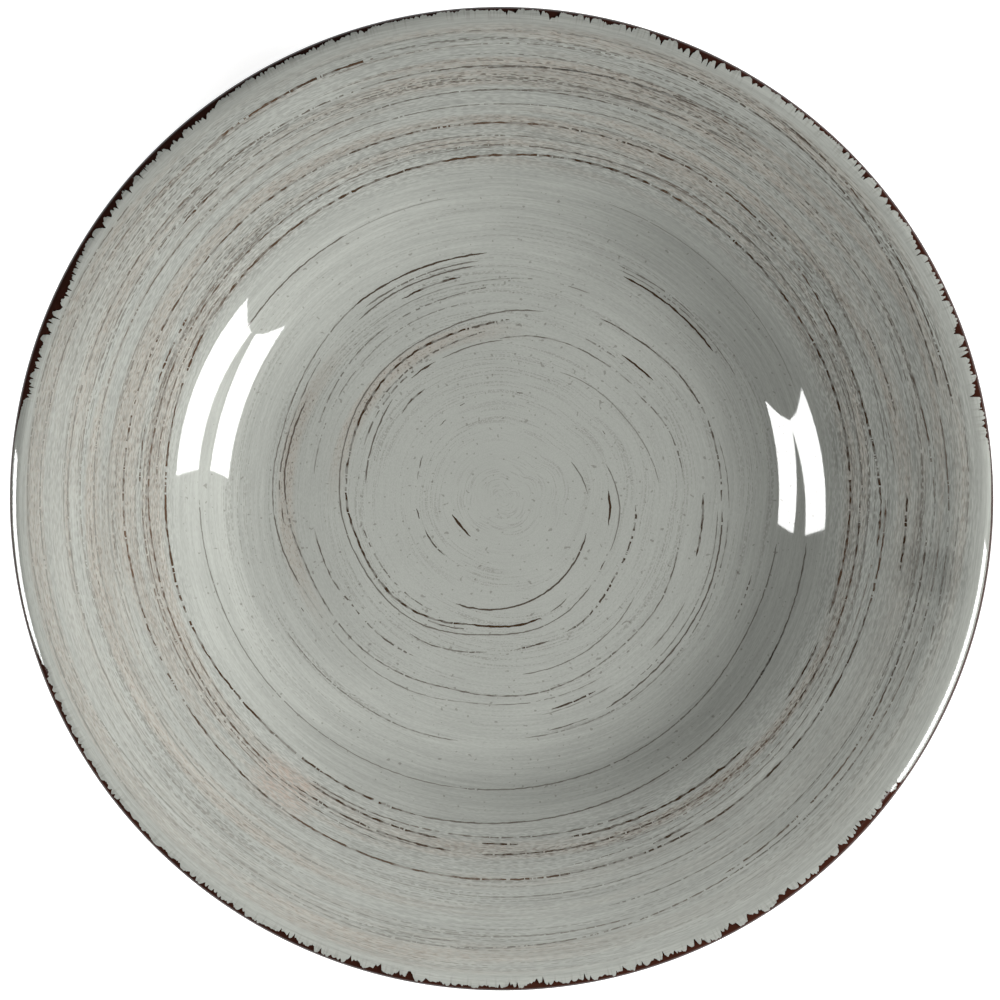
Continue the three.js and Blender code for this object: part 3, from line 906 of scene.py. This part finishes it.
# Sides of the face in degrees, with their reach
GRITTY_SIDE = (12, 50)
QUIET_SIDE = (314, 52)
EVEN_SIDE = (245, 105)
# Side where light and shade are painted into the grey of the wall and rim
LEFT_PAINTED_LIGHT_SIDE = (186, 52)
LEFT_SIDE = (186, 62)

# Patches of the face, each with its side and its ring
SMEAR = ((350.5, 4), (82.0, 89.0, 96.0, 103.0))
# Painted shade: the lower wall and shoulder a little darker
PAINTED_SHADE_WALL = ((277, 55), (56.0, 63.0, 78.0, 90.0))
RUBBED_SHOULDER = ((310, 58), (74.6, 75.4, 76.6, 77.6))
WORN_FLOOR = ((176, 44), (44.6, 46.2, 47.8, 49.4))
WORN_MIDDLE = ((132, 55), (33.4, 35.4, 37.2, 38.4))
PALE_RING = (LEFT_SIDE, (92.5, 94.0, 97.0, 98.2))
WARM_RIM = (LEFT_SIDE, (97.0, 98.0, 100.8, 101.6))
WARM_SHOULDER = (LEFT_SIDE, (72.6, 73.4, 76.6, 77.6))
PINK_PATCH = ((233, 7), (71.5, 75.0, 79.0, 84.0))

# How far the brush's rings stray from true circles: millimetres on some sides, and millimetres of slow sway
RING_STRAY = [(57, 35, 0.8), (19, 28, -1.1), (205, 40, -0.5)]
RING_SWAY = 1.5

# Brush streaks in the grey: pitch in millimetres, cells a turn, seed, detail and strength
GREY_STREAKS = [(2.6, 7, 2.0, 2.0, 0.22), (0.7, 16, 3.0, 1.0, 0.30), (0.25, 40, 4.0, 0.0, 0.22)]


def new_material(name, roughness):
    material = bpy.data.materials.new(name)
    material.use_nodes = True
    tree = material.node_tree
    shader = tree.nodes["Principled BSDF"]
    shader.inputs["Roughness"].default_value = roughness
    return material, tree, shader


def plate_coordinates(tree):
    """Radius in millimetres and the direction from the axis, from the piece's own coordinates."""
    x, y, _ = parts(put(tree, "ShaderNodeTexCoord", out=3))
    flat = vector(tree, x, y, 0.0)
    radius = put(tree, "ShaderNodeVectorMath", flat, operation="LENGTH", out=1) / MM
    direction = put(tree, "ShaderNodeVectorMath", flat, operation="NORMALIZE")
    return radius, direction


def mixed(share, first, second):
    """A colour between two colours."""
    node = share.tree.nodes.new("ShaderNodeMix")
    node.data_type = "RGBA"
    for socket, value in zip((node.inputs[0], node.inputs[6], node.inputs[7]), (share, first, second)):
        if isinstance(value, Wire):
            share.tree.links.new(value.socket, socket)
        else:
            socket.default_value = (*value, 1.0)
    return Wire(node.outputs[2])


def grains(tree, size, seed, detail=0.0):
    """Even noise with grains of this many millimetres."""
    place = put(tree, "ShaderNodeTexCoord", out=3)
    moved = added(place, (seed, seed * 2.0, 0.0))
    return noise(moved, detail, 1 / (size * MM))


def finish_colour(tree, shader, colour):
    tree.links.new(colour.socket, shader.inputs["Base Color"])


def finish_bump(tree, shader, height, depth):
    bump = put(tree, "ShaderNodeBump", named={"Strength": 1.0, "Distance": depth * MM, "Height": height})
    tree.links.new(bump.socket, shader.inputs["Normal"])


class BrushedFace:
    """Where a point of the brushed face lies, and how much the brush left there."""

    def __init__(self, tree):
        self.tree = tree
        self.radius, self.direction = plate_coordinates(tree)
        sway = (round_noise(self.direction, 0.0, 5, 1.0) - 0.5) * RING_SWAY
        self.ring = self.radius + lobes(self.direction, RING_STRAY) + sway
        self.grit = self.streaks(0.24, 400, 12.0, 1.0)
        self.flange = band(self.radius, *FLANGE_RING)
        self.quiet = self.side(QUIET_SIDE)
        self.lively = self.flange * (1 - self.side(EVEN_SIDE) * 0.5) * (1 - self.quiet * 0.55)
        self.rubbed = self.side(RUBBED_SHOULDER[0]) * band(self.ring, *RUBBED_SHOULDER[1])
        self.worn = largest(self.patch(WORN_FLOOR), self.patch(WORN_MIDDLE))

    def streaks(self, pitch, cells, seed, detail=0.0):
        """Noise drawn out along the brush's rings, with this many millimetres from streak to streak."""
        return round_noise(self.direction, self.ring / pitch, cells, seed, detail)

    def side(self, place):
        return lobe(self.direction, *place)

    def patch(self, place):
        return self.side(place[0]) * band(self.radius, *place[1])

    def tone(self):
        """How light the grey is: brush streaks, mottling, fine grain, a darker smear, shoulder and gritty
        side, and painted light and shade on the left and on the lower wall.
        """
        streaky = sum((self.streaks(*layer) - 0.5) * strength for *layer, strength in GREY_STREAKS)
        busy = ramp(self.radius, 20.0, 76.0, 0.12, 1.0)
        mottle = (grains(self.tree, 14.0, 1.0, 2.0) - 0.5) * 0.10
        shoulder = band(self.radius, *SHOULDER_RING)
        gritty = self.side(GRITTY_SIDE) * self.flange
        coarse = 0.06 + self.lively * 0.12 + shoulder * 0.10 + gritty * 0.07
        grain = ramp(self.streaks(0.22, 380, 14.0), 0.34, 0.66, -0.5, 0.5) * coarse
        # Painted light and shade: on the left the wall and rim are painted lighter and the well's edge
        # darker, and the lower wall is painted darker
        left_painted_light = self.side(LEFT_PAINTED_LIGHT_SIDE) * (ramp(self.radius, 56.0, 61.0) * 0.16 - 0.09)
        painted_light_and_shade = left_painted_light * ramp(self.radius, 30.0, 45.0) - self.patch(PAINTED_SHADE_WALL) * 0.08
        darker = self.patch(SMEAR) * 0.15 + shoulder * 0.03 + gritty * 0.06
        return 1.0 + streaky * busy + mottle + grain - darker + painted_light_and_shade

    def haze(self):
        """Where the grey is so thin that the brown warms it."""
        thin = ramp(self.streaks(3.2, 5, 5.0, 2.0), 0.42, 0.62) * self.flange * (1 - self.quiet * 0.85)
        thin = thin * (1 - self.patch(PALE_RING) * 0.8)
        return largest(thin, self.patch(WARM_RIM) * 0.8, self.patch(WARM_SHOULDER), self.rubbed, self.worn)

    def pink(self):
        """A patch where the grey turns pinkish."""
        patch = self.side(PINK_PATCH[0]) * band(self.ring, *PINK_PATCH[1])
        return patch * ramp(self.grit, 0.3, 0.7, 0.1, 0.6)

    def specks(self, haze):
        """Brown specks in the haze, in the rubbed shoulder and in the well."""
        fine = ramp(self.grit, 0.58, 0.70) * (haze * 0.42 + 0.08) * largest(self.lively, self.worn)
        pits = ramp(grains(self.tree, 0.8, 21.0), 0.77, 0.82) * ramp(self.radius, 72.0, 66.0) * 0.4
        return fine + ramp(self.grit, 0.50, 0.64) * self.rubbed * 0.5 + pits

    def dotted_lines(self):
        """Fine broken lines of brown along the brush's rings."""
        rows = ramp(self.streaks(0.30, 11, 6.0), 0.53, 0.66)
        dots = ramp(self.streaks(0.30, 520, 7.0), 0.38, 0.58)
        zones = ramp(self.streaks(4.6, 4, 8.0, 1.0), 0.40, 0.60, 0.25, 1.0)
        return rows * dots * zones * (self.lively * 0.5 + ramp(self.radius, 66.0, 56.0) * 0.18 + 0.1)

    def runs(self):
        """Thin brown runs behind the ragged edge."""
        fine = ramp(round_noise(self.direction, self.radius / 5.0, 1300, 13.0), 0.56, 0.68)
        return fine * ramp(self.radius, 101.2, 104.0) * 0.2 * (1 - smooth_edge(self.direction))


def brushed_grey():
    """Grey glaze brushed in rings: streaks, warm haze where it is thin, and fine dotted lines of brown."""
    material, tree, shader = new_material("brushed_grey_glaze", 0.035)
    face = BrushedFace(tree)
    haze = face.haze()
    warm = haze * (0.5 + ramp(face.grit, 0.44, 0.60) * 0.5)
    colour = mixed(warm * 0.7, GREY, TAN)
    colour = mixed(face.pink(), colour, PINK)
    colour = scaled(colour, face.tone())
    brown = face.specks(haze) + face.dotted_lines() + face.runs()
    finish_colour(tree, shader, mixed(brown, colour, DOT_BROWN))
    return material


def brush_line_finish():
    """Brown coat bared by the brush, half covered where a line fades."""
    material, tree, shader = new_material("brown_brush_lines", 0.08)
    radius, direction = plate_coordinates(tree)
    tone = put(tree, "ShaderNodeAttribute", attribute_name="line_tone", out=2)
    rusty = ramp(round_noise(direction, radius / 4.0, 16, 1.0, 1.0), 0.45, 0.68) * 0.5
    rusty = (rusty + lobe(direction, 172, 75) * 0.5) * ramp(radius, 68.0, 74.0)
    faint = lobe(direction, 215, 75) * ramp(radius, 81.0, 84.0) * 0.5
    finish_colour(tree, shader, mixed(tone * (1 - faint), GREY, mixed(rusty, LINE_BROWN, LINE_RUST)))
    return material


def brown_glaze():
    """Dark brown glaze that turns reddish where it runs thin."""
    material, tree, shader = new_material("brown_glaze", 0.10)
    radius, direction = plate_coordinates(tree)
    thin = ramp(round_noise(direction, radius / 6.0, 60, 1.0, 2.0), 0.42, 0.70) * 0.4
    thin = thin + lobe(direction, 300, 50) * 0.35
    finish_colour(tree, shader, mixed(thin, BROWN, RED_BROWN))
    shader.inputs["Specular IOR Level"].default_value = 0.25
    return material


def bare_clay():
    """Matt fired clay with dark specks and a sandy surface."""
    material, tree, shader = new_material("bare_clay", 0.85)
    patches = grains(tree, 5.0, 1.0, 3.0)
    specks = ramp(grains(tree, 0.5, 2.0), 0.66, 0.74) * 0.7
    colour = mixed(ramp(patches, 0.35, 0.65), CLAY, PALE_CLAY)
    finish_colour(tree, shader, mixed(specks, colour, CLAY_SPECK))
    finish_bump(tree, shader, grains(tree, 0.35, 3.0, 2.0), 0.05)
    return material


def back_grey():
    """Dipped grey glaze of the underside, with faint turning rings and warm specks."""
    material, tree, shader = new_material("grey_back_glaze", 0.10)
    radius, direction = plate_coordinates(tree)
    rings = (round_noise(direction, radius / 1.8, 6, 1.0, 2.0) - 0.5) * 0.14
    mottle = (grains(tree, 9.0, 2.0, 2.0) - 0.5) * 0.16
    specks = ramp(grains(tree, 0.55, 3.0), 0.68, 0.76) * 0.6
    border = ramp(radius + (round_noise(direction, 0.0, 180, 3.0, 1.0) - 0.5) * 2.2, 96.0, 98.6)
    colour = scaled(mixed(specks, GREY, WARM_SPECK), 1.0 + rings + mottle)
    finish_colour(tree, shader, mixed(border, colour, BROWN))
    return material


clay_finish = bare_clay()
brown_finish = brown_glaze()
grey_finish = brushed_grey()
back_finish = back_grey()
line_finish = brush_line_finish()

# Pieces

lathe = lathe_tree()


def clay_body():
    line = [*recess_line(0), *foot_line(), *back_line(0), *lip_line(0), *bend_line(0), *face_line(0)]
    return shaped("clay_body", section_mesh("clay_section", line), lathe, Shown_Side=-1.0, Glaze=clay_finish)


def brown_coat():
    inner, outer = (
        [band_end(depth), *lip_line(depth), *bend_line(depth), *face_line(depth)] for depth in (0, BASE_COAT)
    )
    line = [*reversed(inner), *outer]
    return shaped("brown_coat", section_mesh("brown_section", line), lathe, Glaze=brown_finish)


def brushed_coat():
    under = [*bend_line(BASE_COAT, HIDDEN_BEND_STEPS), *face_line(BASE_COAT, HIDDEN_STEPS, HIDDEN_STEPS)]
    over = [*bend_line(COATS), *face_line(COATS)]
    line = [*reversed(under), *over]
    return shaped("brushed_coat", section_mesh("brushed_section", line), lathe,
                  Turn_Steps=FACE_TURN_STEPS, Glaze=grey_finish)


# Rows of the ragged edge under and over the coat, as shares of the way from the bend to the coat's end
UNDER_SHARES = [0.0, 0.5, 1.0]
OVER_SHARES = [1.0, 0.915, 0.71, 0.64, 0.54, 0.41, 0.22, 0.0, 0.0]


def ragged_edge():
    """The brushed coat's outermost ring, from the level rim to where it ends over the lip."""
    under, over = bend_line(BASE_COAT)[0], bend_line(COATS)[0]
    line = [under] * len(UNDER_SHARES) + [over] * (len(OVER_SHARES) - 1) + [under]
    depths = [BASE_COAT * MM] * len(UNDER_SHARES) + [COATS * MM] * len(OVER_SHARES)
    blank = section_mesh("ragged_section", line, UNDER_SHARES + OVER_SHARES, depths)
    return shaped("ragged_edge", blank, lathe, Turn_Steps=RAGGED_TURN_STEPS, Glaze=grey_finish)


def back_coat():
    outside = back_line(BASE_COAT)
    line = [*outside, *reversed(back_line(0)), outside[0]]
    return shaped("back_coat", section_mesh("back_section", line), lathe, Shown_Side=-1.0, Glaze=back_finish)


def recess_coat():
    line = [*recess_line(BASE_COAT), *reversed(recess_line(0))]
    blank = section_mesh("recess_section", line)
    return shaped("recess_coat", blank, lathe, Shown_Side=-1.0, Glaze=back_finish)


grey_face = brushed_coat()
for piece, node, slot in (
    (clay_body(), "stoneware_body", "stoneware"),
    (brown_coat(), "brown_base_glaze", "brown_glaze"),
    (grey_face, "grey_face_glaze", "grey_glaze"),
    (back_coat(), "grey_back_glaze", "grey_glaze"),
    (recess_coat(), "foot_recess_glaze", "grey_glaze"),
):
    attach(piece, "root")
    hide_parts(node)

torn_edge = ragged_edge()
brush_lines = shaped("brush_lines", line_paths(), line_tree(),
                     Coat=grey_face, Edge=torn_edge, Glaze=line_finish)
for piece, slot in ((torn_edge, "grey_glaze"), (brush_lines, "brown_glaze")):
    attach(piece, "root")

# Studio: a white table, soft boxes at both sides, and the photograph's view from above

WHITE = (1.0, 1.0, 1.0, 1.0)
TABLE_GREY = (0.8, 0.8, 0.8, 1.0)
TABLE_GLOW = 0.88
TABLE_HALF_SIDE = 3.0
ROOM_LEVEL = 0.07

# The soft boxes look at the well's wall, at this radius and height in millimetres
WALL_MIDDLE = (64, 14)


def soft_box(name, target, azimuth, elevation, distance, width, height, level, roll=0):
    """A rectangular lamp that looks at a target from this direction. Level 1 lights white paper to white."""
    lamp = bpy.data.lights.new(name, "AREA")
    lamp.shape = "RECTANGLE"
    lamp.size = width
    lamp.size_y = height
    lamp.energy = level * (math.pi * distance) ** 2
    turn, rise = math.radians(azimuth), math.radians(elevation)
    line = Vector((math.cos(turn) * math.cos(rise), math.sin(turn) * math.cos(rise), math.sin(rise)))
    box = bpy.data.objects.new(name, lamp)
    box.location = Vector(target) + line * distance
    aim = (-line).to_track_quat("-Z", "Y") @ Quaternion((0, 0, 1), math.radians(roll))
    box.rotation_euler = aim.to_euler()
    bpy.context.collection.objects.link(box)
    return box


def wall_point(angle):
    """The middle of the well's wall in this direction."""
    radius, height = WALL_MIDDLE
    return (*polar((0, 0), radius * MM, math.radians(angle)), height * MM)


face_centre = (0, 0, outline_height)
right_box = soft_box("right_soft_box", wall_point(159), azimuth=-23.5, elevation=36.0, distance=0.9,
                     width=0.382, height=0.244, level=0.72, roll=7)
left_box = soft_box("left_soft_box", wall_point(7), azimuth=187.8, elevation=30.5, distance=0.9,
                    width=0.286, height=0.218, level=0.54, roll=-12)
key_light = soft_box("key_light", face_centre, azimuth=0, elevation=25, distance=3.0,
                     width=1.2, height=1.2, level=1.55)
fill_light = soft_box("fill_light", face_centre, azimuth=225, elevation=45, distance=0.4,
                      width=0.2, height=0.2, level=0.65)
for box in (right_box, left_box):
    box.visible_diffuse = False
for light in (key_light, fill_light):
    light.visible_glossy = False


def white_table():
    material, tree, shader = new_material("white_table", 0.9)
    shader.inputs["Base Color"].default_value = TABLE_GREY
    rays = put(tree, "ShaderNodeLightPath").socket.node
    labels = ("Is Camera Ray", "Is Glossy Ray", "Is Transmission Ray")
    seen = largest(*(Wire(rays.outputs[label]) for label in labels))
    shader.inputs["Emission Color"].default_value = WHITE
    tree.links.new((seen * TABLE_GLOW).socket, shader.inputs["Emission Strength"])
    mesh = bpy.data.meshes.new("table")
    side = TABLE_HALF_SIDE
    corners = [(-side, -side, 0), (side, -side, 0), (side, side, 0), (-side, side, 0)]
    mesh.from_pydata(corners, [], [(0, 1, 2, 3)])
    mesh.materials.append(material)
    table = bpy.data.objects.new("table", mesh)
    bpy.context.collection.objects.link(table)


def room_light():
    world = bpy.data.worlds.new("studio")
    world.use_nodes = True
    background = world.node_tree.nodes["Background"]
    background.inputs["Color"].default_value = WHITE
    background.inputs["Strength"].default_value = ROOM_LEVEL
    bpy.context.scene.world = world


def photograph_camera():
    camera = bpy.data.cameras.new("photograph_view")
    camera.sensor_width = SENSOR_WIDTH
    shown_width = OUTLINE_HALF_WIDTH / IMAGE_SIDE * SENSOR_WIDTH
    camera.lens = shown_width * CAMERA_DISTANCE / (PLATE_RADIUS * MM)
    view = bpy.data.objects.new("photograph_view", camera)
    view.location = view_point
    view.rotation_euler = Vector((0, 0, 1)).rotation_difference(view_line).to_euler()
    bpy.context.collection.objects.link(view)
    bpy.context.scene.camera = view


white_table()
room_light()
photograph_camera()
bpy.context.scene.view_settings.view_transform = "Standard"
